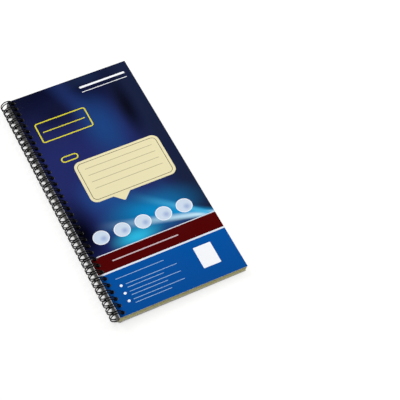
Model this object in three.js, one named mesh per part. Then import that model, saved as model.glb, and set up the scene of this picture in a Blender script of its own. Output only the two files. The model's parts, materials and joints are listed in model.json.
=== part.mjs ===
// A phone message book: bundles of duplicate message sheets between two card covers,
// held at the spine by one continuous twin-loop wire.
// Millimetres, +Z up. X runs from the spine to the fore edge and Y from the foot to the head.
// The origin is on the table, under the middle of the closed book.

import * as THREE from "three";

// Driving dimensions of the card and the paper
const coverWidth = 138;
const coverHeight = 297;
const coverThickness = 0.45;
const coverOverhang = 0.25; // how far the covers reach past the sheets at head, foot and fore edge
const sheetThickness = 0.077;
const sheetsPerBundle = 8;
const bundleCount = 10;
const airGap = 0.01; // between two bundles that lie on each other

// Driving dimensions of the punched row
const holePitch = 25.4 / 3; // three holes to the inch
const endMargin = 4; // least distance from the last hole's middle to the head or the foot
const holeMargin = 5.1; // from the spine edge to the middle of the holes
const holeClearance = 0.25; // beside the two wires in a hole

// Driving dimensions of the wire
const wireDiameter = 1.2;
const twinSpacing = 2.6; // between the two wires of one loop
const loopRoom = 5.43; // how much wider the loops are inside than the block is thick
const backCoverRise = 0.84; // from the lowest inside of the loops up to the back cover
const seamGap = 0.3; // between the closed seam of the wire and the back cover above it
const spineSlack = 0.4; // how far the back cover hangs outwards on the loops
const tipSpacing = 1.7; // between the two wires of one loop near its closed tip
const tipShortfall = 0.9; // how far the crown of a tip stays short of the seam
const footDepth = 0.55; // how far the wide bends between the loops reach past the seam
const legStart = 0.43; // from the seam to where the two legs of a loop run side by side

// Facets
const wireSides = 5;
const stepsOverTop = 6; // from the seam over the top to the outermost point of a loop
const stepsUnderneath = 2; // from there to the lowest point
const stepsAtFoot = 2; // in each half of a wide bend

// The block is the two covers with all the sheets between them.
const bundleThickness = sheetThickness * sheetsPerBundle;
const plateCount = bundleCount + 2;
const blockThickness = 2 * coverThickness + bundleCount * bundleThickness + (plateCount - 1) * airGap;

// The loops, measured from their middle line
const wireRadius = wireDiameter / 2;
const loopRadius = (blockThickness + loopRoom + wireDiameter) / 2;
const blockBottom = -(loopRadius - wireRadius) + backCoverRise;
const loopXAt = (z) => Math.sqrt(loopRadius ** 2 - z ** 2);

// The row of holes, and one loop for each hole
const holeSize = twinSpacing + wireDiameter + 2 * holeClearance;
const holeCount = Math.floor((coverHeight - 2 * endMargin) / holePitch) + 1;
const holeY = (index) => (index - (holeCount - 1) / 2) * holePitch;

// The block leans: every plate hangs on the loops, which are narrower low down.
const topPlateMiddle = blockBottom + blockThickness - coverThickness / 2;
const bottomPlateMiddle = blockBottom + coverThickness / 2;
const topHoleX = loopXAt(topPlateMiddle);
const bottomHoleX = loopXAt(bottomPlateMiddle) + spineSlack;

// The book rests on the lowest points of its loops and on the fore edge of its back cover.
const backForeEdge = bottomHoleX - holeMargin + coverWidth;
const restTilt = Math.atan2(loopRadius + wireRadius + blockBottom, backForeEdge);

// The middle line of the loops in the part's frame, with the book tilted so
const foreEdge = topHoleX - holeMargin + coverWidth;
const topFace = blockBottom + blockThickness;
const reachToFore = foreEdge * Math.cos(restTilt) + topFace * Math.sin(restTilt);
const reachOfLoops = (loopRadius + wireRadius) * Math.cos(restTilt);
const loopLineX = -(reachToFore - reachOfLoops) / 2;
const loopLineZ = reachOfLoops;

function card(colour, roughness) {
  return new THREE.MeshStandardMaterial({ color: colour, roughness, metalness: 0 });
}

function part(name, geometry, material) {
  const mesh = new THREE.Mesh(geometry, material);
  mesh.name = name;
  return mesh;
}

// One punched rectangle. Its spine edge is at x = 0, and it is centred on y = 0.
function punchedOutline(width, height) {
  const outline = new THREE.Shape();
  outline.moveTo(0, -height / 2);
  outline.lineTo(width, -height / 2);
  outline.lineTo(width, height / 2);
  outline.lineTo(0, height / 2);
  outline.closePath();
  for (let index = 0; index < holeCount; index += 1) {
    outline.holes.push(squareHole(holeMargin, holeY(index)));
  }
  return outline;
}

function squareHole(x, y) {
  const half = holeSize / 2;
  const hole = new THREE.Path();
  hole.moveTo(x - half, y - half);
  hole.lineTo(x - half, y + half);
  hole.lineTo(x + half, y + half);
  hole.lineTo(x + half, y - half);
  hole.closePath();
  return hole;
}

// A cover or a bundle of sheets, laid at its height in the block. Level runs from 0 for
// the back cover to plateCount - 1 for the front cover, and sets the place of the holes.
function plate(name, level, bottom, size, material) {
  const geometry = new THREE.ExtrudeGeometry(punchedOutline(size.width, size.height), {
    depth: size.thickness,
    bevelEnabled: false,
  });
  const holeX = THREE.MathUtils.lerp(bottomHoleX, topHoleX, level / (plateCount - 1));
  geometry.translate(holeX - holeMargin, 0, bottom);
  return part(name, geometry, material);
}

function cover(name, level, bottom, colour) {
  const size = { width: coverWidth, height: coverHeight, thickness: coverThickness };
  return plate(name, level, bottom, size, card(colour, 0.3));
}

function bundle(number, level, bottom) {
  const size = {
    width: coverWidth - coverOverhang,
    height: coverHeight - 2 * coverOverhang,
    thickness: bundleThickness,
  };
  const name = `message_sheets_${String(number).padStart(2, "0")}`;
  return plate(name, level, bottom, size, card(0xf4f1a2, 0.9));
}

// The wire lies on a cylinder about the middle line of the loops, so a point of it is an
// angle round that line, counted from the fore-edge side over the top, and a place along it.
function onLoop(angle, y) {
  return new THREE.Vector3(loopRadius * Math.cos(angle), y, loopRadius * Math.sin(angle));
}

// A path that passes through chosen points, one facet from each to the next. The first
// corner of the wire's section always looks away from the middle line of the loops.
class BentWire extends THREE.Curve {
  constructor(points) {
    super();
    this.points = points;
  }

  getPoint(t, target = new THREE.Vector3()) {
    const place = t * (this.points.length - 1);
    const index = Math.min(Math.floor(place), this.points.length - 2);
    return target.lerpVectors(this.points[index], this.points[index + 1], place - index);
  }

  getPointAt(u, target) {
    return this.getPoint(u, target);
  }

  computeFrenetFrames() {
    const last = this.points.length - 1;
    const frames = { tangents: [], normals: [], binormals: [] };
    this.points.forEach((point, index) => {
      const before = this.points[Math.max(index - 1, 0)];
      const after = this.points[Math.min(index + 1, last)];
      const outward = new THREE.Vector3(point.x, 0, point.z).normalize();
      const along = after.clone().sub(before);
      along.addScaledVector(outward, -along.dot(outward)).normalize();
      frames.tangents.push(along);
      frames.normals.push(outward);
      frames.binormals.push(new THREE.Vector3().crossVectors(along, outward));
    });
    return frames;
  }
}

// Where the closed seam lies: under the back cover, just clear of it.
const seamAngle = -Math.asin((-blockBottom + seamGap + wireRadius) / loopRadius);
const pastSeam = (length) => seamAngle + length / loopRadius;

// Half of one loop, from the wide bend at its foot over the top and round to its narrow
// tip. Side is -1 or 1. The wide bend is a quarter of an ellipse up to the next loop.
function halfLoop(y, side) {
  const half = twinSpacing / 2;
  const flare = holePitch / 2 - half;
  const at = (angle, offset) => onLoop(angle, y + side * offset);
  const points = [];
  for (let step = stepsAtFoot; step >= 1; step -= 1) {
    const turn = (Math.PI * step) / (2 * stepsAtFoot + 1);
    points.push(at(pastSeam(-footDepth * Math.sin(turn)), half + flare * (1 - Math.cos(turn))));
  }
  for (let step = 0; step <= stepsOverTop; step += 1) {
    points.push(at(THREE.MathUtils.lerp(pastSeam(legStart), Math.PI, step / stepsOverTop), half));
  }
  for (let step = 1; step <= stepsUnderneath; step += 1) {
    points.push(at(Math.PI * (1 + step / stepsUnderneath / 2), half));
  }
  const shoulder = pastSeam(-tipShortfall - tipSpacing / 2);
  points.push(at(2 * Math.PI + shoulder, tipSpacing / 2));
  return points;
}

function wirePoints() {
  const points = [];
  for (let index = 0; index < holeCount; index += 1) {
    const y = holeY(index);
    const crown = onLoop(2 * Math.PI + pastSeam(-tipShortfall), y);
    points.push(...halfLoop(y, -1), crown, ...halfLoop(y, 1).reverse());
  }
  return points;
}

// The least clear distance of the wire to itself, measured on points along it. Points that
// are nearer to each other along the wire than oneBend belong to the same bend.
function leastGap(points) {
  const samples = [];
  let travelled = 0;
  for (let index = 1; index < points.length; index += 1) {
    const length = points[index].distanceTo(points[index - 1]);
    const count = Math.ceil(length / (wireDiameter / 2));
    for (let step = 0; step < count; step += 1) {
      const share = step / count;
      const place = points[index - 1].clone().lerp(points[index], share);
      samples.push({ place, along: travelled + share * length });
    }
    travelled += length;
  }
  const oneBend = 3.5 * wireDiameter;
  let least = Infinity;
  samples.forEach((first, index) => {
    for (let other = index + 1; other < samples.length; other += 1) {
      const second = samples[other];
      if (second.place.y - first.place.y > 2 * holePitch) break;
      if (second.along - first.along < oneBend) continue;
      least = Math.min(least, first.place.distanceTo(second.place));
    }
  });
  return least - wireDiameter;
}

function twinLoopWire() {
  const section = new THREE.Shape();
  for (let corner = 0; corner < wireSides; corner += 1) {
    const angle = (corner / wireSides) * 2 * Math.PI;
    const x = wireRadius * Math.cos(angle);
    const y = wireRadius * Math.sin(angle);
    if (corner === 0) section.moveTo(x, y);
    else section.lineTo(x, y);
  }
  section.closePath();
  const points = wirePoints();
  console.log(`least gap of the wire to itself: ${leastGap(points).toFixed(2)} mm`);
  const geometry = new THREE.ExtrudeGeometry(section, {
    steps: points.length - 1,
    extrudePath: new BentWire(points),
    bevelEnabled: false,
  });
  const black = new THREE.MeshStandardMaterial({ color: 0x141416, roughness: 0.35, metalness: 0.2 });
  return part("twin_loop_wire", geometry, black);
}

// The whole book, built about the middle line of the loops and set down on the table
function messageBook() {
  const book = new THREE.Group();
  book.position.set(loopLineX, 0, loopLineZ);
  book.rotation.y = restTilt;
  book.add(twinLoopWire());
  book.add(cover("back_cover", 0, blockBottom, 0xdedede));
  let bottom = blockBottom + coverThickness + airGap;
  for (let level = 1; level <= bundleCount; level += 1) {
    book.add(bundle(bundleCount + 1 - level, level, bottom));
    bottom += bundleThickness + airGap;
  }
  book.add(cover("front_cover", plateCount - 1, bottom, 0x1b2f86));
  return book;
}

export default messageBook();
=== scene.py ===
# A phone message book: yellow message sheets between card covers on a black twin-loop wire.
# The book is set out in millimetres, and the table, the lamps and the camera in metres.
# X runs from the spine to the fore edge, Y from the foot to the head, and Z up.

import json
import math
import random

import bmesh
import bpy
from mathutils import Matrix, Vector


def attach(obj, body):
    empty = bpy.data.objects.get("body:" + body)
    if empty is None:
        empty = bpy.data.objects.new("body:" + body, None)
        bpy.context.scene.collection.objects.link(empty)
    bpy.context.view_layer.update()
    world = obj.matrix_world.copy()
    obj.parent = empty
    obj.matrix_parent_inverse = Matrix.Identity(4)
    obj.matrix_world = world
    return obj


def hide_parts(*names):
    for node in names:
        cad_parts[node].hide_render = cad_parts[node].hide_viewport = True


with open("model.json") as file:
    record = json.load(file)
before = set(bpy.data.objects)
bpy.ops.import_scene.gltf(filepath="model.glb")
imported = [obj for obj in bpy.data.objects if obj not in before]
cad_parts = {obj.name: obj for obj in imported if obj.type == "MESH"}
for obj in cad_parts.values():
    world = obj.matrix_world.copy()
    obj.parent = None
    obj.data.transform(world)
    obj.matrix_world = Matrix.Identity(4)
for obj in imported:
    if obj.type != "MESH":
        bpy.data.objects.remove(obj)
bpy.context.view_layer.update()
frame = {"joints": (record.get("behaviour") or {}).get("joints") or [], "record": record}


# The table and the light. The book lies on a wide white table under two broad soft lamps,
# a weak one in front and a pale room. The camera looks down on it from over the foot and a
# little to the left of the spine, as the photographer did, with a long lens.


def add(tree, kind, settings=None, links=None):
    """Adds one node, sets its fields, and feeds its inputs from sockets or with values."""
    node = tree.nodes.new(kind)
    for field, value in (settings or {}).items():
        setattr(node, field, value)
    for socket, source in (links or {}).items():
        if isinstance(source, bpy.types.NodeSocket):
            tree.links.new(source, node.inputs[socket])
        else:
            node.inputs[socket].default_value = source
    return node


def paint(code):
    """The linear colour of an sRGB hex code."""
    parts = [int(code[i:i + 2], 16) / 255 for i in (1, 3, 5)]
    linear = [c / 12.92 if c <= 0.04045 else ((c + 0.055) / 1.055) ** 2.4 for c in parts]
    return (*linear, 1.0)


def empty_material(name):
    """A new material without nodes, and its node tree."""
    material = bpy.data.materials.new(name)
    material.use_nodes = True
    material.node_tree.nodes.clear()
    return material, material.node_tree


def table_laminate():
    """White matt laminate with a faint mottle of about 110 mm. To the lens and in reflections
    it is lifted to plain white, more so far from the lamps. The shadow of the book stays on
    it, and within a few millimetres of the book the lift gives way to a contact shadow."""
    material, tree = empty_material("white_matt_laminate")
    place = add(tree, "ShaderNodeTexCoord")
    mottle = add(tree, "ShaderNodeTexNoise", None, {
        "Vector": place.outputs["Object"], "Scale": 1000 / 110, "Detail": 3.0})
    tone = add(tree, "ShaderNodeMix", {"data_type": "RGBA"}, {
        0: mottle.outputs["Fac"], 6: paint("#9c9c9a"), 7: paint("#a3a3a2")})
    ray = add(tree, "ShaderNodeLightPath")
    seen = add(tree, "ShaderNodeMath", {"operation": "MAXIMUM"}, {
        0: ray.outputs["Is Camera Ray"], 1: ray.outputs["Is Glossy Ray"]})
    seen = add(tree, "ShaderNodeMath", {"operation": "MAXIMUM"}, {
        0: seen.outputs[0], 1: ray.outputs["Is Transmission Ray"]})
    away = add(tree, "ShaderNodeVectorMath", {"operation": "LENGTH"}, {0: place.outputs["Object"]})
    lift = add(tree, "ShaderNodeMapRange", {"interpolation_type": "SMOOTHSTEP"}, {
        "Value": away.outputs["Value"], "From Min": 0.4, "From Max": 3.0,
        "To Min": 0.69, "To Max": 0.9})
    contact_reach = 0.0045
    openness = add(tree, "ShaderNodeAmbientOcclusion", {"samples": 8}, {
        "Distance": contact_reach})
    clear = add(tree, "ShaderNodeMapRange", {"interpolation_type": "SMOOTHSTEP"}, {
        "Value": openness.outputs["AO"], "From Min": 0.25, "From Max": 0.65})
    for share in (seen.outputs[0], clear.outputs[0]):
        lift = add(tree, "ShaderNodeMath", {"operation": "MULTIPLY"}, {
            0: share, 1: lift.outputs[0]})
    surface = add(tree, "ShaderNodeBsdfPrincipled", None, {
        "Base Color": tone.outputs[2], "Roughness": 0.8, "Specular IOR Level": 0.2,
        "Emission Color": (1, 1, 1, 1), "Emission Strength": lift.outputs[0]})
    add(tree, "ShaderNodeOutputMaterial", None, {"Surface": surface.outputs[0]})
    return material


def table():
    mesh = bpy.data.meshes.new("table")
    shape = bmesh.new()
    bmesh.ops.create_circle(shape, cap_ends=True, segments=96, radius=6.0)
    shape.to_mesh(mesh)
    shape.free()
    mesh.materials.append(table_laminate())
    top = bpy.data.objects.new("table", mesh)
    bpy.context.scene.collection.objects.link(top)


def lamp(name, place, width, power):
    """A square soft lamp that looks at the middle of the book."""
    light = bpy.data.lights.new(name, "AREA")
    light.shape = "SQUARE"
    light.size = width
    light.energy = power
    holder = bpy.data.objects.new(name, light)
    holder.location = place
    holder.rotation_euler = (-Vector(place)).to_track_quat("-Z", "Y").to_euler()
    bpy.context.scene.collection.objects.link(holder)


def pale_room():
    """A pale room: white where the lens or a reflection near the horizon sees it, greyer
    overhead, and a moderate even light on everything else."""
    world = bpy.data.worlds.new("pale_room")
    bpy.context.scene.world = world
    world.use_nodes = True
    tree = world.node_tree
    tree.nodes.clear()
    place = add(tree, "ShaderNodeTexCoord")
    height = add(tree, "ShaderNodeSeparateXYZ", None, {0: place.outputs["Generated"]})
    mirrored = add(tree, "ShaderNodeMapRange", {"interpolation_type": "SMOOTHSTEP"}, {
        "Value": height.outputs["Z"], "From Min": 0.05, "From Max": 0.55,
        "To Min": 1.0, "To Max": 0.03})
    ray = add(tree, "ShaderNodeLightPath")
    even = 0.4
    level = add(tree, "ShaderNodeMix", {"data_type": "FLOAT"}, {
        0: ray.outputs["Is Glossy Ray"], 2: even, 3: mirrored.outputs[0]})
    clear = add(tree, "ShaderNodeMath", {"operation": "MAXIMUM"}, {
        0: ray.outputs["Is Camera Ray"], 1: ray.outputs["Is Transmission Ray"]})
    level = add(tree, "ShaderNodeMix", {"data_type": "FLOAT"}, {
        0: clear.outputs[0], 2: level.outputs[0], 3: 1.0})
    background = add(tree, "ShaderNodeBackground", None, {
        "Color": (1, 1, 1, 1), "Strength": level.outputs[0]})
    add(tree, "ShaderNodeOutputWorld", None, {"Surface": background.outputs[0]})


def camera():
    """Fitted to the edges and the hole rows in the photograph: the point on the table in
    the middle of the picture, the turn about Z, the height over the horizon, the distance."""
    aim = Vector((0.06831, -0.05194, 0))
    turn = math.radians(-26.05)
    height = math.radians(55.03)
    distance = 1.367
    level = Vector((-math.sin(turn), math.cos(turn), 0)) * math.cos(height)
    forward = level - Vector((0, 0, math.sin(height)))
    lens = bpy.data.cameras.new("camera")
    lens.lens = 119.65
    lens.sensor_width = 36
    lens.clip_start = 0.05
    lens.clip_end = 50
    holder = bpy.data.objects.new("camera", lens)
    holder.location = aim - forward * distance
    holder.rotation_euler = forward.to_track_quat("-Z", "Y").to_euler()
    bpy.context.scene.collection.objects.link(holder)
    bpy.context.scene.camera = holder


table()
pale_room()
lamp("side_lamp", (1.6, 0.5, 1.4), 1.1, 22)
lamp("back_lamp", (-0.5, 1.7, 1.4), 1.1, 27)
lamp("front_lamp", (0.1, -1.7, 0.9), 0.9, 6)
camera()
bpy.context.scene.view_settings.view_transform = "Standard"


# The binding is one length of 1.2 mm steel wire with a black nylon coat. It is bent to and
# fro into 35 twin loops, pushed through the punched holes and pressed shut, so that each
# narrow tip ends between the feet of its own loop, under the back cover.

# The covers turn round the middle line of the loops, and the mount under the back cover
# tells how far the book leans.
loop_line = Vector(frame["joints"][0]["pos_m"])
rest_lean = math.asin(-frame["record"]["mounts"][0]["axis"][0])

hole_pitch = 25.4 / 3
hole_count = 35
loop_radius = 6.9
wire_diameter = 1.2
twin_spacing = 2.6
tip_spacing = 1.7
tip_shortfall = 0.9
foot_depth = 0.55
foot_bend = 1.0
back_cover_rise = 0.84
seam_gap = 0.3

# The back cover hangs a little above the lowest inside of the loops, and the closed seam of
# the wire lies just clear of it, underneath. Both are measured from the loops' middle line.
block_bottom = wire_diameter / 2 + back_cover_rise - loop_radius
seam_angle = -math.asin((seam_gap + wire_diameter / 2 - block_bottom) / loop_radius)


def settle(data):
    """Moves a mesh or curve from the book's own axes, about the middle line of the loops,
    to its lean on the table."""
    data.transform(Matrix.Translation(loop_line) @ Matrix.Rotation(rest_lean, 4, "Y"))


def hole_place(index):
    """Where a hole and its loop lie along the spine, from the middle of the book."""
    return (index - (hole_count - 1) / 2) * hole_pitch


def half_loop(y, side):
    """From the middle of the wide foot bend, over the top, to the crown of the tip."""
    half = twin_spacing / 2
    bend_steps = 6
    round_steps = 30
    taper_steps = 5
    crown_steps = 4

    def at(along, across):
        angle = seam_angle + along / loop_radius
        return Vector((loop_radius * math.cos(angle), y + side * across,
                       loop_radius * math.sin(angle)))

    points = [at(-foot_depth, hole_pitch / 2)]
    for step in range(bend_steps + 1):
        turn = math.pi / 2 * (1 - step / bend_steps)
        points.append(at(foot_bend * (1 - math.sin(turn)) - foot_depth,
                         half + foot_bend * (1 - math.cos(turn))))
    leg_start = foot_bend - foot_depth
    lowest = (1.5 * math.pi - seam_angle) * loop_radius
    for step in range(1, round_steps + 1):
        points.append(at(leg_start + (lowest - leg_start) * step / round_steps, half))
    tip_radius = tip_spacing / 2
    whole_turn = 2 * math.pi * loop_radius
    tip_start = whole_turn - tip_shortfall - tip_radius
    for step in range(1, taper_steps + 1):
        share = step / taper_steps
        eased = share * share * (3 - 2 * share)
        points.append(at(lowest + (tip_start - lowest) * share,
                         half + (tip_radius - half) * eased))
    for step in range(1, crown_steps + 1):
        turn = math.pi / 2 * step / crown_steps
        points.append(at(tip_start + tip_radius * math.sin(turn), tip_radius * math.cos(turn)))
    return points


def nylon_coated_wire():
    """Black nylon on steel. The coat is smooth and glossy, with a fine orange peel and
    duller rubbed patches."""
    material, tree = empty_material("black_nylon_coated_steel")
    place = add(tree, "ShaderNodeTexCoord")
    # Rubbed patches are about 6 mm long, and the peel 0.4 mm.
    wear_and_shade = add(tree, "ShaderNodeTexNoise", None, {
        "Vector": place.outputs["Object"], "Scale": 1000 / 6, "Detail": 2.0})
    tone = add(tree, "ShaderNodeMix", {"data_type": "RGBA"}, {
        0: wear_and_shade.outputs["Fac"], 6: paint("#030304"), 7: paint("#0b0b0d")})
    gloss = add(tree, "ShaderNodeMapRange", None, {
        "Value": wear_and_shade.outputs["Fac"], "To Min": 0.28, "To Max": 0.45})
    peel = add(tree, "ShaderNodeTexNoise", None, {
        "Vector": place.outputs["Object"], "Scale": 1000 / 0.4, "Detail": 1.0})
    bump = add(tree, "ShaderNodeBump", None, {
        "Height": peel.outputs["Fac"], "Strength": 0.25, "Distance": 0.00003})
    surface = add(tree, "ShaderNodeBsdfPrincipled", None, {
        "Base Color": tone.outputs[2], "Roughness": gloss.outputs[0], "IOR": 1.53,
        "Specular IOR Level": 0.08, "Normal": bump.outputs[0]})
    add(tree, "ShaderNodeOutputMaterial", None, {"Surface": surface.outputs[0]})
    return material


def bind_wire():
    path = []
    for index in range(hole_count):
        y = hole_place(index)
        path += half_loop(y, -1)
        # The way back from the crown, which both halves have as their last point
        path += half_loop(y, 1)[-2::-1]
    curve = bpy.data.curves.new("bound_wire", "CURVE")
    curve.dimensions = "3D"
    curve.bevel_depth = wire_diameter / 2 / 1000
    curve.bevel_resolution = 3
    curve.use_fill_caps = True
    spline = curve.splines.new("POLY")
    spline.points.add(len(path) - 1)
    for point, target in zip(path, spline.points):
        target.co = (*(point / 1000), 1)
    spline.use_smooth = True
    settle(curve)
    curve.materials.append(nylon_coated_wire())
    wire = bpy.data.objects.new("bound_wire", curve)
    bpy.context.scene.collection.objects.link(wire)
    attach(wire, "spine_and_back")
    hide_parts("twin_loop_wire")


bind_wire()


# The back cover is white-lined chipboard, 0.45 mm thick, with a grey-brown core at its cut
# edges. It is guillotined square and punched along the spine with 35 nearly round holes,
# 4.5 mm across. The walls of the holes are painted near black, as painted shade inside them.

cover_width = 138
cover_height = 297
card_thickness = 0.45
sheet_thickness = 0.077
sheets_per_bundle = 8
bundle_count = 10
air_gap = 0.01
hole_size = 4.5
hole_corner = 1.8
hole_margin = 5.1
spine_slack = 0.4

# The block is the two covers with the bundles of sheets between them, and air between all.
bundle_thickness = sheet_thickness * sheets_per_bundle
plate_count = bundle_count + 2
block_thickness = 2 * card_thickness + bundle_count * bundle_thickness + (plate_count - 1) * air_gap


def hang(level):
    """How far the holes of a plate lie from the middle line of the loops. Level 0 is the
    back cover and 11 the front cover, and the block leans with the round of the loops."""
    low = block_bottom + card_thickness / 2
    high = block_bottom + block_thickness - card_thickness / 2
    near = math.sqrt(loop_radius ** 2 - low ** 2) + spine_slack
    far = math.sqrt(loop_radius ** 2 - high ** 2)
    return near + (far - near) * level / (plate_count - 1)


def rounded_hole(y):
    """The rounded corners of one punched hole, anticlockwise, each a list of its points."""
    facets = 3
    reach = hole_size / 2 - hole_corner
    corners = []
    for start in (0, 90, 180, 270):
        middle = math.radians(start + 45)
        centre = Vector((math.copysign(reach, math.cos(middle)),
                         math.copysign(reach, math.sin(middle)), 0))
        points = []
        for step in range(facets + 1):
            turn = math.radians(start + 90 * step / facets)
            rim = Vector((math.cos(turn), math.sin(turn), 0)) * hole_corner
            points.append(centre + rim + Vector((hole_margin, y, 0)))
        corners.append(points)
    return corners


def punched_face(shape, fore, foot, head):
    """A flat punched leaf at z = 0 in plate axes: x from the spine edge, y from the middle.
    Each hole sits in a cell of its own, and the open field beside it is cut in strips."""
    strip = 2 * hole_margin
    rows = [foot] + [hole_place(i) - hole_pitch / 2 for i in range(hole_count)]
    rows += [hole_place(hole_count - 1) + hole_pitch / 2, head]
    columns = [0, strip, (strip + fore) / 2, fore]
    grid = [[shape.verts.new((x, y, 0)) for x in columns] for y in rows]
    for low, high in zip(grid, grid[1:]):
        for side in (1, 2):
            shape.faces.new((low[side], low[side + 1], high[side + 1], high[side]))
    for row in (0, len(grid) - 2):
        shape.faces.new((grid[row][0], grid[row][1], grid[row + 1][1], grid[row + 1][0]))
    for index in range(hole_count):
        low, high = grid[index + 1], grid[index + 2]
        cell = [high[1], high[0], low[0], low[1]]
        rims = [[shape.verts.new(point) for point in corner]
                for corner in rounded_hole(hole_place(index))]
        for corner, rim in enumerate(rims):
            for near, far in zip(rim, rim[1:]):
                shape.faces.new((cell[corner], far, near))
            following = (corner + 1) % 4
            shape.faces.new((cell[corner], cell[following], rims[following][0], rim[-1]))


def punched_leaf(shape, fore, foot, head, bottom, thickness):
    """Adds one punched leaf with its edges. Material 0 is its upper face, 1 its underside,
    2 its cut edges, 3 its edge at the spine and 4 the walls of its holes. The map is in
    metres, from the spine edge and the foot."""
    leaf = bmesh.new()
    punched_face(leaf, fore, foot, head)
    raised = bmesh.ops.extrude_face_region(leaf, geom=leaf.faces[:])["geom"]
    tops = [item for item in raised if isinstance(item, bmesh.types.BMVert)]
    bmesh.ops.translate(leaf, verts=tops, vec=(0, 0, thickness))
    bmesh.ops.recalc_face_normals(leaf, faces=leaf.faces)
    # On a leaf as thin as a sheet, the call above can leave all the faces pointing inwards.
    if leaf.calc_volume(signed=True) < 0:
        bmesh.ops.reverse_faces(leaf, faces=leaf.faces)
    bmesh.ops.translate(leaf, verts=leaf.verts, vec=(0, 0, bottom))
    bmesh.ops.scale(leaf, verts=leaf.verts, vec=(0.001, 0.001, 0.001))
    mapping = leaf.loops.layers.uv.new("print")
    leaf.normal_update()
    tolerance = 0.1
    for face in leaf.faces:
        if abs(face.normal.z) < 0.5:
            middle = face.calc_center_median() * 1000
            inside = foot + tolerance < middle.y < head - tolerance
            if middle.x > 2 * hole_margin or not inside:
                face.material_index = 2
            else:
                face.material_index = 3 if middle.x < tolerance else 4
        else:
            face.material_index = 0 if face.normal.z > 0 else 1
        for corner in face.loops:
            spot = corner.vert.co
            corner[mapping].uv = (spot.x, spot.y + cover_height / 2000)
    part = bpy.data.meshes.new("leaf")
    leaf.to_mesh(part)
    leaf.free()
    shape.from_mesh(part)
    bpy.data.meshes.remove(part)


def hang_plate(name, shape, level, materials, body, node):
    """Finishes one plate, hangs it at its level in the block and lets it ride on its body."""
    mesh = bpy.data.meshes.new(name)
    shape.to_mesh(mesh)
    shape.free()
    for material in materials:
        mesh.materials.append(material)
    mesh.transform(Matrix.Translation(((hang(level) - hole_margin) / 1000, 0, 0)))
    settle(mesh)
    plate = bpy.data.objects.new(name, mesh)
    bpy.context.scene.collection.objects.link(plate)
    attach(plate, body)
    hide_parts(node)


def uncoated_card(name, pale, grey):
    """Bare card or board: matt, with short fibres about 0.8 mm long and slow cloudy patches."""
    material, tree = empty_material(name)
    place = add(tree, "ShaderNodeTexCoord")
    stretched = add(tree, "ShaderNodeMapping", None, {
        "Vector": place.outputs["Object"], "Scale": (1.0, 0.35, 1.0)})
    fibres = add(tree, "ShaderNodeTexNoise", None, {
        "Vector": stretched.outputs[0], "Scale": 1000 / 0.8, "Detail": 3.0})
    clouds = add(tree, "ShaderNodeTexNoise", None, {
        "Vector": place.outputs["Object"], "Scale": 1000 / 22, "Detail": 2.0})
    mixed = add(tree, "ShaderNodeMath", {"operation": "MULTIPLY_ADD"}, {
        0: fibres.outputs["Fac"], 1: 0.7, 2: clouds.outputs["Fac"]})
    share = add(tree, "ShaderNodeMapRange", None, {
        "Value": mixed.outputs[0], "From Min": 0.5, "From Max": 1.2})
    tone = add(tree, "ShaderNodeMix", {"data_type": "RGBA"}, {
        0: share.outputs[0], 6: paint(grey), 7: paint(pale)})
    bump = add(tree, "ShaderNodeBump", None, {
        "Height": fibres.outputs["Fac"], "Strength": 0.3, "Distance": 0.00005})
    surface = add(tree, "ShaderNodeBsdfPrincipled", None, {
        "Base Color": tone.outputs[2], "Roughness": 0.85, "IOR": 1.45,
        "Specular IOR Level": 0.3, "Normal": bump.outputs[0]})
    add(tree, "ShaderNodeOutputMaterial", None, {"Surface": surface.outputs[0]})
    return material


white_face = uncoated_card("uncoated_white_card", "#efeeea", "#e2e0da")
chipboard_edge = uncoated_card("cut_chipboard_edge", "#a39c84", "#857e68")
# The walls of the holes are painted near black: painted shade inside the holes.
shaded_hole_walls = uncoated_card("punched_walls_painted_in_shade", "#1e1e1f", "#0d0d0f")

back = bmesh.new()
punched_leaf(back, cover_width, -cover_height / 2, cover_height / 2, block_bottom,
             card_thickness)
hang_plate("punched_back_cover", back, 0,
           [white_face, white_face, chipboard_edge, chipboard_edge, shaded_hole_walls],
           "spine_and_back", "back_cover")


# The message sheets are 80 leaves of thin yellow copying paper in pairs, a form and its
# copy. Each holds four ruled forms, one above the other, beside a line of perforation
# along which they tear off. They hang in ten bundles of eight.

sheet_gap = 0.004
overhang = 0.25
fore_scatter = 0.3
end_scatter = 0.25
forms_per_page = 4
forms_pitch = cover_height / forms_per_page


def print_place(tree):
    """Where a point lies on the printed face, in millimetres from spine edge and foot."""
    mapping = add(tree, "ShaderNodeUVMap", {"uv_map": "print"})
    return add(tree, "ShaderNodeVectorMath", {"operation": "SCALE"}, {
        0: mapping.outputs[0], "Scale": 1000.0}).outputs[0]


def distance_from(tree, place, low, high, corner):
    """How far a point lies outside a box that is drawn in by its corner radius."""
    centre = ((low[0] + high[0]) / 2, (low[1] + high[1]) / 2, 0)
    half = ((high[0] - low[0]) / 2 - corner, (high[1] - low[1]) / 2 - corner, 0)
    offset = add(tree, "ShaderNodeVectorMath", {"operation": "SUBTRACT"}, {0: place, 1: centre})
    folded = add(tree, "ShaderNodeVectorMath", {"operation": "ABSOLUTE"}, {0: offset.outputs[0]})
    beyond = add(tree, "ShaderNodeVectorMath", {"operation": "SUBTRACT"}, {
        0: folded.outputs[0], 1: half})
    outside = add(tree, "ShaderNodeVectorMath", {"operation": "MAXIMUM"}, {
        0: beyond.outputs[0], 1: (0, 0, 0)})
    length = add(tree, "ShaderNodeVectorMath", {"operation": "LENGTH"}, {0: outside.outputs[0]})
    return length.outputs["Value"]


def printed_block(tree, place, low, high, corner=0.05):
    """1 inside a solid printed box with rounded corners, and 0 outside it."""
    away = distance_from(tree, place, low, high, corner)
    return add(tree, "ShaderNodeMath", {"operation": "LESS_THAN"}, {0: away, 1: corner}).outputs[0]


def printed_frame(tree, place, low, high, corner, line):
    """1 on the outline of a box with rounded corners, and 0 elsewhere."""
    away = distance_from(tree, place, low, high, corner)
    return add(tree, "ShaderNodeMath", {"operation": "COMPARE"}, {
        0: away, 1: corner - line / 2, 2: line / 2}).outputs[0]


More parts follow.
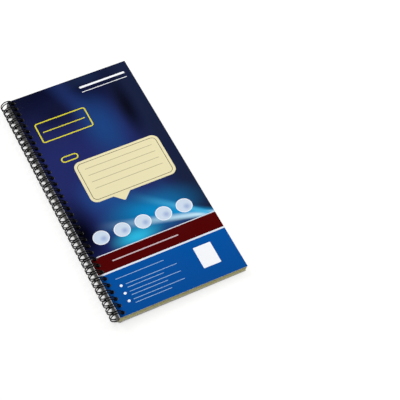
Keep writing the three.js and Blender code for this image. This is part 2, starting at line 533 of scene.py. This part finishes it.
def either(tree, masks):
    """1 where any of the masks is 1."""
    whole = masks[0]
    for mask in masks[1:]:
        whole = add(tree, "ShaderNodeMath", {"operation": "MAXIMUM"}, {0: whole, 1: mask}).outputs[0]
    return whole


def form_lines(tree, place):
    """The strong and the fine lines of the four forms. The real ones are about 0.2 mm
    thick. They are drawn 0.4 and 0.3 mm thick, so that they show from a step away."""
    strong_line = 0.4
    fine_line = 0.3
    split = add(tree, "ShaderNodeSeparateXYZ", None, {0: place})
    up = add(tree, "ShaderNodeMath", {"operation": "WRAP"}, {
        0: split.outputs["Y"], 1: forms_pitch, 2: 0.0})
    local = add(tree, "ShaderNodeCombineXYZ", None, {
        "X": split.outputs["X"], "Y": up.outputs[0]}).outputs[0]
    strong = [
        printed_frame(tree, local, (18.5, 1.4), (134.4, 69.6), 4.0, strong_line),
        printed_frame(tree, local, (22.2, 4.6), (130.8, 66.4), 2.6, strong_line),
    ]
    boxes = [
        ((24.6, 56.6), (74, 64.4)), ((24.6, 51.2), (74, 55.8)), ((24.6, 45.6), (74, 50.4)),
        ((79, 60.6), (128.4, 64.4)), ((79, 55.9), (128.4, 59.8)), ((79, 50.9), (128.4, 55.1)),
        ((79, 45.6), (128.4, 50.1)), ((24.6, 16.4), (128.4, 43.6)),
    ]
    fine = [printed_frame(tree, local, low, high, 1.0, fine_line) for low, high in boxes]
    for x, head in ((36, 55.8), (90, 59.8)):
        fine.append(printed_block(tree, local, (x, 45.6), (x + fine_line, head)))
    radius = 1.9
    height = 10.5
    for middle in (26.7, 48.4, 70.0, 91.0, 112.8):
        fine.append(printed_frame(tree, local, (middle - radius, height - radius),
                                  (middle + radius, height + radius), radius, fine_line))
        fine.append(printed_block(tree, local, (middle + 4, 9.2), (middle + 14, 9.2 + fine_line)))
    return either(tree, strong), either(tree, fine)


def perforation(tree, place):
    """A row of 0.6 mm cuts with 0.6 mm ties between them, drawn half as long again."""
    pitch = 1.8
    column = 16.2
    half_width = 0.16
    split = add(tree, "ShaderNodeSeparateXYZ", None, {0: place})
    phase = add(tree, "ShaderNodeMath", {"operation": "WRAP"}, {
        0: split.outputs["Y"], 1: pitch, 2: 0.0})
    cut = add(tree, "ShaderNodeMath", {"operation": "LESS_THAN"}, {
        0: phase.outputs[0], 1: pitch / 2})
    near = add(tree, "ShaderNodeMath", {"operation": "COMPARE"}, {
        0: split.outputs["X"], 1: column, 2: half_width})
    return add(tree, "ShaderNodeMath", {"operation": "MULTIPLY"}, {
        0: cut.outputs[0], 1: near.outputs[0]}).outputs[0]


def paper_tone(tree, light, deep):
    """The colour and the relief of thin paper: fibres 0.5 mm long and a cloudy look-through
    of about 9 mm."""
    place = add(tree, "ShaderNodeTexCoord")
    stretched = add(tree, "ShaderNodeMapping", None, {
        "Vector": place.outputs["Object"], "Scale": (0.5, 1.0, 1.0)})
    fibres = add(tree, "ShaderNodeTexNoise", None, {
        "Vector": stretched.outputs[0], "Scale": 1000 / 0.5, "Detail": 3.0})
    clouds = add(tree, "ShaderNodeTexNoise", None, {
        "Vector": place.outputs["Object"], "Scale": 1000 / 9, "Detail": 3.0})
    mixed = add(tree, "ShaderNodeMath", {"operation": "MULTIPLY_ADD"}, {
        0: fibres.outputs["Fac"], 1: 0.4, 2: clouds.outputs["Fac"]})
    share = add(tree, "ShaderNodeMapRange", None, {
        "Value": mixed.outputs[0], "From Min": 0.4, "From Max": 1.0})
    tone = add(tree, "ShaderNodeMix", {"data_type": "RGBA"}, {
        0: share.outputs[0], 6: paint(deep), 7: paint(light)})
    return tone.outputs[2], fibres.outputs["Fac"]


def painted_shade_band(tree, place):
    """1 on a band of painted grey shade, 0.3 mm wide along the spine edge and round the
    holes, and 0 elsewhere."""
    wear_and_shade = 0.3
    first = cover_height / 2 + hole_place(0) - hole_pitch / 2
    split = add(tree, "ShaderNodeSeparateXYZ", None, {0: place})
    along = add(tree, "ShaderNodeMath", {"operation": "WRAP"}, {
        0: split.outputs["Y"], 1: first + hole_pitch, 2: first})
    local = add(tree, "ShaderNodeCombineXYZ", None, {
        "X": split.outputs["X"], "Y": along.outputs[0]}).outputs[0]
    reach = hole_size / 2 + wear_and_shade
    middle = first + hole_pitch / 2
    ring = printed_block(tree, local, (hole_margin - reach, middle - reach),
                         (hole_margin + reach, middle + reach), hole_corner + wear_and_shade)
    edge = printed_block(tree, place, (-1, -1), (wear_and_shade, cover_height + 1))
    return either(tree, [ring, edge])


def overprint(tree, colour, layers):
    """Lays inks over a colour in turn. A layer is its mask and its ink, a socket or a code."""
    for mask, ink in layers:
        tone = paint(ink) if isinstance(ink, str) else ink
        colour = add(tree, "ShaderNodeMix", {"data_type": "RGBA"}, {
            0: mask, 6: colour, 7: tone}).outputs[2]
    return colour


def copying_paper(name, light, deep, printed):
    """Uncoated copying paper, matt and faintly cloudy. The printed side carries the forms
    in grey-green ink and the perforation."""
    material, tree = empty_material(name)
    colour, relief = paper_tone(tree, light, deep)
    place = print_place(tree)
    # Painted shade: a grey band round the holes and along the spine edge of each sheet.
    layers = [(painted_shade_band(tree, place), "#727271")]
    if printed:
        strong, fine = form_lines(tree, place)
        layers += [(fine, "#b4b483"), (strong, "#8d9068"), (perforation(tree, place), "#b9b37c")]
    colour = overprint(tree, colour, layers)
    bump = add(tree, "ShaderNodeBump", None, {
        "Height": relief, "Strength": 0.2, "Distance": 0.00003})
    surface = add(tree, "ShaderNodeBsdfPrincipled", None, {
        "Base Color": colour, "Roughness": 0.88, "IOR": 1.45, "Specular IOR Level": 0.25,
        "Normal": bump.outputs[0]})
    add(tree, "ShaderNodeOutputMaterial", None, {"Surface": surface.outputs[0]})
    return material


def stacked_edges(name, light, deep):
    """The cut edges of the sheets. The shade between them makes the stack duller than a
    page, in streaks about 55 mm long. Single edges are 0.08 mm and are drawn 0.3 mm thick."""
    material, tree = empty_material(name)
    place = add(tree, "ShaderNodeTexCoord")
    along = add(tree, "ShaderNodeMapping", None, {
        "Vector": place.outputs["Object"], "Scale": (1000 / 55, 1000 / 55, 1000 / 0.3)})
    streaks = add(tree, "ShaderNodeTexNoise", None, {
        "Vector": along.outputs[0], "Scale": 1.0, "Detail": 4.0, "Roughness": 0.65})
    share = add(tree, "ShaderNodeMapRange", None, {
        "Value": streaks.outputs["Fac"], "From Min": 0.3, "From Max": 0.7})
    tone = add(tree, "ShaderNodeMix", {"data_type": "RGBA"}, {
        0: share.outputs[0], 6: paint(deep), 7: paint(light)})
    surface = add(tree, "ShaderNodeBsdfPrincipled", None, {
        "Base Color": tone.outputs[2], "Roughness": 0.95, "IOR": 1.45,
        "Specular IOR Level": 0.15})
    add(tree, "ShaderNodeOutputMaterial", None, {"Surface": surface.outputs[0]})
    return material


def bundle(number, level, bottom, materials):
    """Eight loose sheets, each cut and jogged a little differently inside the block."""
    scatter = random.Random(number)
    stack = bmesh.new()
    for sheet in range(sheets_per_bundle):
        fore = cover_width - overhang - scatter.uniform(0, fore_scatter)
        foot = -cover_height / 2 + overhang + scatter.uniform(0, end_scatter)
        head = cover_height / 2 - overhang - scatter.uniform(0, end_scatter)
        sheet_bottom = bottom + sheet * sheet_thickness
        punched_leaf(stack, fore, foot, head, sheet_bottom, sheet_thickness - sheet_gap)
    name = f"message_sheets_{number:02d}"
    hang_plate(f"loose_sheets_{number:02d}", stack, level, materials, name, name)


page = copying_paper("yellow_form_paper", "#f4f1a4", "#f0ec9b", True)
page_back = copying_paper("yellow_paper_back", "#f3f0ac", "#eeeaa2", False)
page_edges = stacked_edges("cut_paper_edges", "#e9e4d0", "#b9b296")
# The sheets' edges at the spine are painted grey: painted shade under the loops.
shaded_spine_edges = stacked_edges("paper_edges_painted_in_spine_shade", "#989897", "#686867")
next_bottom = block_bottom + card_thickness + air_gap
for level in range(1, bundle_count + 1):
    bundle(bundle_count + 1 - level, level, next_bottom,
           [page, page_back, page_edges, shaded_spine_edges, shaded_hole_walls])
    next_bottom += bundle_thickness + air_gap


# The front cover is solid white card, bare on the inside. Outside it is printed in four
# colours and film-laminated to a high gloss: a dark blue ground, a dark red stripe and a
# mid-blue foot, with blank labels, a message balloon, discs and rays of light.


def bloom(tree, place, centre, reach):
    """1 in the middle of a soft oval, falling to 0 at its reach."""
    offset = add(tree, "ShaderNodeVectorMath", {"operation": "SUBTRACT"}, {
        0: place, 1: (*centre, 0)})
    scaled = add(tree, "ShaderNodeVectorMath", {"operation": "MULTIPLY"}, {
        0: offset.outputs[0], 1: (1 / reach[0], 1 / reach[1], 0)})
    away = add(tree, "ShaderNodeVectorMath", {"operation": "LENGTH"}, {0: scaled.outputs[0]})
    return add(tree, "ShaderNodeMapRange", {"interpolation_type": "SMOOTHSTEP"}, {
        "Value": away.outputs["Value"], "From Min": 1.0, "From Max": 0.0}).outputs[0]


def ray_of_light(tree, place, foot, degrees, width, reach):
    """A soft ray that starts at its foot, widens along its way and fades at its reach."""
    turn = math.radians(degrees)
    offset = add(tree, "ShaderNodeVectorMath", {"operation": "SUBTRACT"}, {
        0: place, 1: (*foot, 0)})
    along = add(tree, "ShaderNodeVectorMath", {"operation": "DOT_PRODUCT"}, {
        0: offset.outputs[0], 1: (math.cos(turn), math.sin(turn), 0)})
    across = add(tree, "ShaderNodeVectorMath", {"operation": "DOT_PRODUCT"}, {
        0: offset.outputs[0], 1: (-math.sin(turn), math.cos(turn), 0)})
    aside = add(tree, "ShaderNodeMath", {"operation": "ABSOLUTE"}, {0: across.outputs["Value"]})
    half = add(tree, "ShaderNodeMath", {"operation": "MULTIPLY_ADD"}, {
        0: along.outputs["Value"], 1: 0.5 * width / reach, 2: 0.5 * width})
    sideways = add(tree, "ShaderNodeMath", {"operation": "DIVIDE"}, {
        0: aside.outputs[0], 1: half.outputs[0]})
    core = add(tree, "ShaderNodeMapRange", {"interpolation_type": "SMOOTHSTEP"}, {
        "Value": sideways.outputs[0], "From Min": 1.0, "From Max": 0.0})
    fade = add(tree, "ShaderNodeMapRange", {"interpolation_type": "SMOOTHSTEP"}, {
        "Value": along.outputs["Value"], "From Min": reach, "From Max": 0.0})
    return add(tree, "ShaderNodeMath", {"operation": "MULTIPLY"}, {
        0: core.outputs[0], 1: fade.outputs[0]}).outputs[0]


def blue_ground(tree, place):
    """The blue ground above the stripe. It darkens to the head and, low down, to the spine,
    with soft lighter blooms between and rays of light over the stripe."""
    split = add(tree, "ShaderNodeSeparateXYZ", None, {0: place})
    height = add(tree, "ShaderNodeMapRange", {"interpolation_type": "SMOOTHSTEP"}, {
        "Value": split.outputs["Y"], "From Min": 200.0, "From Max": 295.0})
    aside = add(tree, "ShaderNodeMapRange", {"interpolation_type": "SMOOTHSTEP"}, {
        "Value": split.outputs["X"], "From Min": 90.0, "From Max": 132.0})
    source = (132, 74)
    return overprint(tree, paint("#202863"), [
        (height.outputs[0], "#090d2a"),
        (bloom(tree, place, (40, 262), (30, 30)), "#0f1333"),
        (bloom(tree, place, (88, 292), (36, 16)), "#182445"),
        (ray_of_light(tree, place, (84, 200), 106, 26, 220), "#1d3169"),
        (bloom(tree, place, (80, 222), (32, 64)), "#1a407c"),
        (aside.outputs[0], "#17203d"),
        (bloom(tree, place, (114, 238), (15, 62)), "#070a1c"),
        (bloom(tree, place, (50, 140), (44, 44)), "#1d4a8c"),
        (bloom(tree, place, (80, 100), (68, 36)), "#0074ae"),
        (bloom(tree, place, (54, 79), (34, 16)), "#2ab4dc"),
        (bloom(tree, place, (7, 104), (26, 64)), "#00000f"),
        (ray_of_light(tree, place, source, 152, 18, 110), "#0a94d2"),
        (ray_of_light(tree, place, source, 164, 9, 120), "#bfe3f4"),
        (ray_of_light(tree, place, source, 140, 9, 90), "#46b0de"),
    ])


def stripe_and_foot(tree, place, colour):
    """The dark red stripe between its white rules, and the mid-blue foot of the cover."""
    split = add(tree, "ShaderNodeSeparateXYZ", None, {0: place})
    rise = add(tree, "ShaderNodeMapRange", None, {
        "Value": split.outputs["Y"], "From Min": 0.0, "From Max": 50.0})
    foot = add(tree, "ShaderNodeMix", {"data_type": "RGBA"}, {
        0: rise.outputs[0], 6: paint("#044b96"), 7: paint("#00509f")})
    stripe = (52, 73.2)
    lower_rule = (50.9, 52.9)
    upper_rule = (72.7, 73.7)
    bands = [((-1, stripe[0]), foot.outputs[2]), (stripe, "#4f0001"),
             (lower_rule, "#dfe6f0"), (upper_rule, "#d9dbe4")]
    return overprint(tree, colour, [
        (printed_block(tree, place, (-1, low), (cover_width + 1, high)), ink)
        for (low, high), ink in bands])


def plain_pictures(tree, place, colour):
    """The two blank labels, the white rules at the head, the message balloon, the discs, the
    blank rule on the stripe, the list of blank lines and the blank price field."""
    yellow = "#dcd22e"
    white = "#f4f6fa"
    layers = [
        (printed_frame(tree, place, (14, 228), (72, 256), 3, 1.4), yellow),
        (printed_block(tree, place, (19, 241.4), (67, 242.6)), yellow),
        (printed_frame(tree, place, (22, 195), (41, 203), 4, 1.4), yellow),
        (printed_block(tree, place, (78, 275), (131, 275.8)), white),
        (printed_block(tree, place, (78, 281), (131, 283.6)), white),
    ]
    tail_offset = add(tree, "ShaderNodeVectorMath", {"operation": "SUBTRACT"}, {
        0: place, 1: (62, 136, 0)})
    tail_turned = add(tree, "ShaderNodeVectorRotate", {"rotation_type": "Z_AXIS"}, {
        "Vector": tail_offset.outputs[0], "Angle": math.radians(45)})
    tail = printed_block(tree, tail_turned.outputs[0], (-8, -8), (8, 8), 1.5)
    balloon = printed_block(tree, place, (30, 134), (126, 190), 8)
    layers.append((either(tree, [tail, balloon]), "#e7deb4"))
    line = 0.6
    layers.append((printed_frame(tree, place, (33, 137), (123, 187), 5.5, line), "#4b4636"))
    for y in (178, 169, 160, 151):
        layers.append((printed_block(tree, place, (40, y), (116, y + line)), "#a39b78"))
    radius = 8.6
    y = 93
    for x in (21, 44, 67, 90, 113):
        low = (x - radius, y - radius)
        high = (x + radius, y + radius)
        layers.append((printed_block(tree, place, low, high, radius), "#cbd9ea"))
        layers.append((printed_frame(tree, place, low, high, radius, 0.7), white))
        layers.append((bloom(tree, place, (x + 2, y - 2), (5.5, 5.5)), "#9fb4d8"))
    layers.append((printed_block(tree, place, (20, 62.4), (92, 63.8), 0.7), "#c9b3b8"))
    small_rules = [printed_block(tree, place, (14, 41.7), (66, 41.7 + line))]
    dot = 1.5
    for y in (33, 23.5, 14):
        layers.append((printed_block(tree, place, (16 - dot, y - dot), (16 + dot, y + dot), dot),
                       white))
        small_rules.append(printed_block(tree, place, (21, y - line / 2), (76, y + line / 2)))
        small_rules.append(printed_block(tree, place, (21, y - 4.6), (60, y - 4.6 + line)))
    layers.append((either(tree, small_rules), "#9dbde0"))
    layers.append((printed_block(tree, place, (98, 16), (117, 42), 0.8), white))
    return overprint(tree, colour, layers)


def loop_shadow_and_pale_edge(tree, place, colour):
    """Painted shadow of the loops darkens the print beside the spine. At the very edge a pale
    line is painted, fainter towards the head."""
    split = add(tree, "ShaderNodeSeparateXYZ", None, {0: place})
    # Painted shadow of the loops: the print darkens over the last 5.5 mm to the spine.
    loop_shadow = add(tree, "ShaderNodeMapRange", {"interpolation_type": "SMOOTHSTEP"}, {
        "Value": split.outputs["X"], "From Min": 1.5, "From Max": 5.5,
        "To Min": 0.5, "To Max": 0.0})
    fade = add(tree, "ShaderNodeMapRange", None, {
        "Value": split.outputs["Y"], "From Min": 60.0, "From Max": 240.0,
        "To Min": 1.0, "To Max": 0.1})
    # A pale line 0.45 mm wide at the very edge, fading towards the head.
    pale_edge_width = 0.45
    pale_edge_line = add(tree, "ShaderNodeMath", {"operation": "MULTIPLY"}, {
        0: fade.outputs[0], 1: printed_block(tree, place, (-1, -1), (pale_edge_width, cover_height + 1))})
    return overprint(tree, colour, [
        (loop_shadow.outputs[0], "#0d0e13"), (pale_edge_line.outputs[0], "#e4e5e9")])


def laminated_print():
    """Four-colour offset print under a clear gloss film: deep colours, a sharp mirror on
    top, a faint orange peel, and a slow wave where the card isn't quite flat."""
    material, tree = empty_material("film_laminated_printed_card")
    place = print_place(tree)
    colour = blue_ground(tree, place)
    colour = stripe_and_foot(tree, place, colour)
    colour = plain_pictures(tree, place, colour)
    colour = loop_shadow_and_pale_edge(tree, place, colour)
    spot = add(tree, "ShaderNodeTexCoord")
    # The film's peel is 0.6 mm across and the card's wave about 45 mm.
    peel = add(tree, "ShaderNodeTexNoise", None, {
        "Vector": spot.outputs["Object"], "Scale": 1000 / 0.6, "Detail": 1.0})
    wave = add(tree, "ShaderNodeTexNoise", None, {
        "Vector": spot.outputs["Object"], "Scale": 1000 / 45, "Detail": 0.0})
    waved = add(tree, "ShaderNodeBump", None, {
        "Height": wave.outputs["Fac"], "Strength": 0.6, "Distance": 0.0004})
    bump = add(tree, "ShaderNodeBump", None, {
        "Height": peel.outputs["Fac"], "Strength": 0.12, "Distance": 0.00002,
        "Normal": waved.outputs[0]})
    handled = add(tree, "ShaderNodeTexNoise", None, {
        "Vector": spot.outputs["Object"], "Scale": 1000 / 30, "Detail": 4.0})
    gloss = add(tree, "ShaderNodeMapRange", None, {
        "Value": handled.outputs["Fac"], "From Min": 0.3, "From Max": 0.7,
        "To Min": 0.1, "To Max": 0.17})
    surface = add(tree, "ShaderNodeBsdfPrincipled", None, {
        "Base Color": colour, "Roughness": gloss.outputs[0], "IOR": 1.5,
        "Specular IOR Level": 0.35, "Normal": bump.outputs[0]})
    add(tree, "ShaderNodeOutputMaterial", None, {"Surface": surface.outputs[0]})
    return material


card_edge = uncoated_card("cut_card_edge", "#e9e8e4", "#c9c8c4")
front = bmesh.new()
punched_leaf(front, cover_width, -cover_height / 2, cover_height / 2, next_bottom,
             card_thickness)
hang_plate("punched_front_cover", front, plate_count - 1,
           [laminated_print(), white_face, card_edge, card_edge, shaded_hole_walls], "front_cover",
           "front_cover")
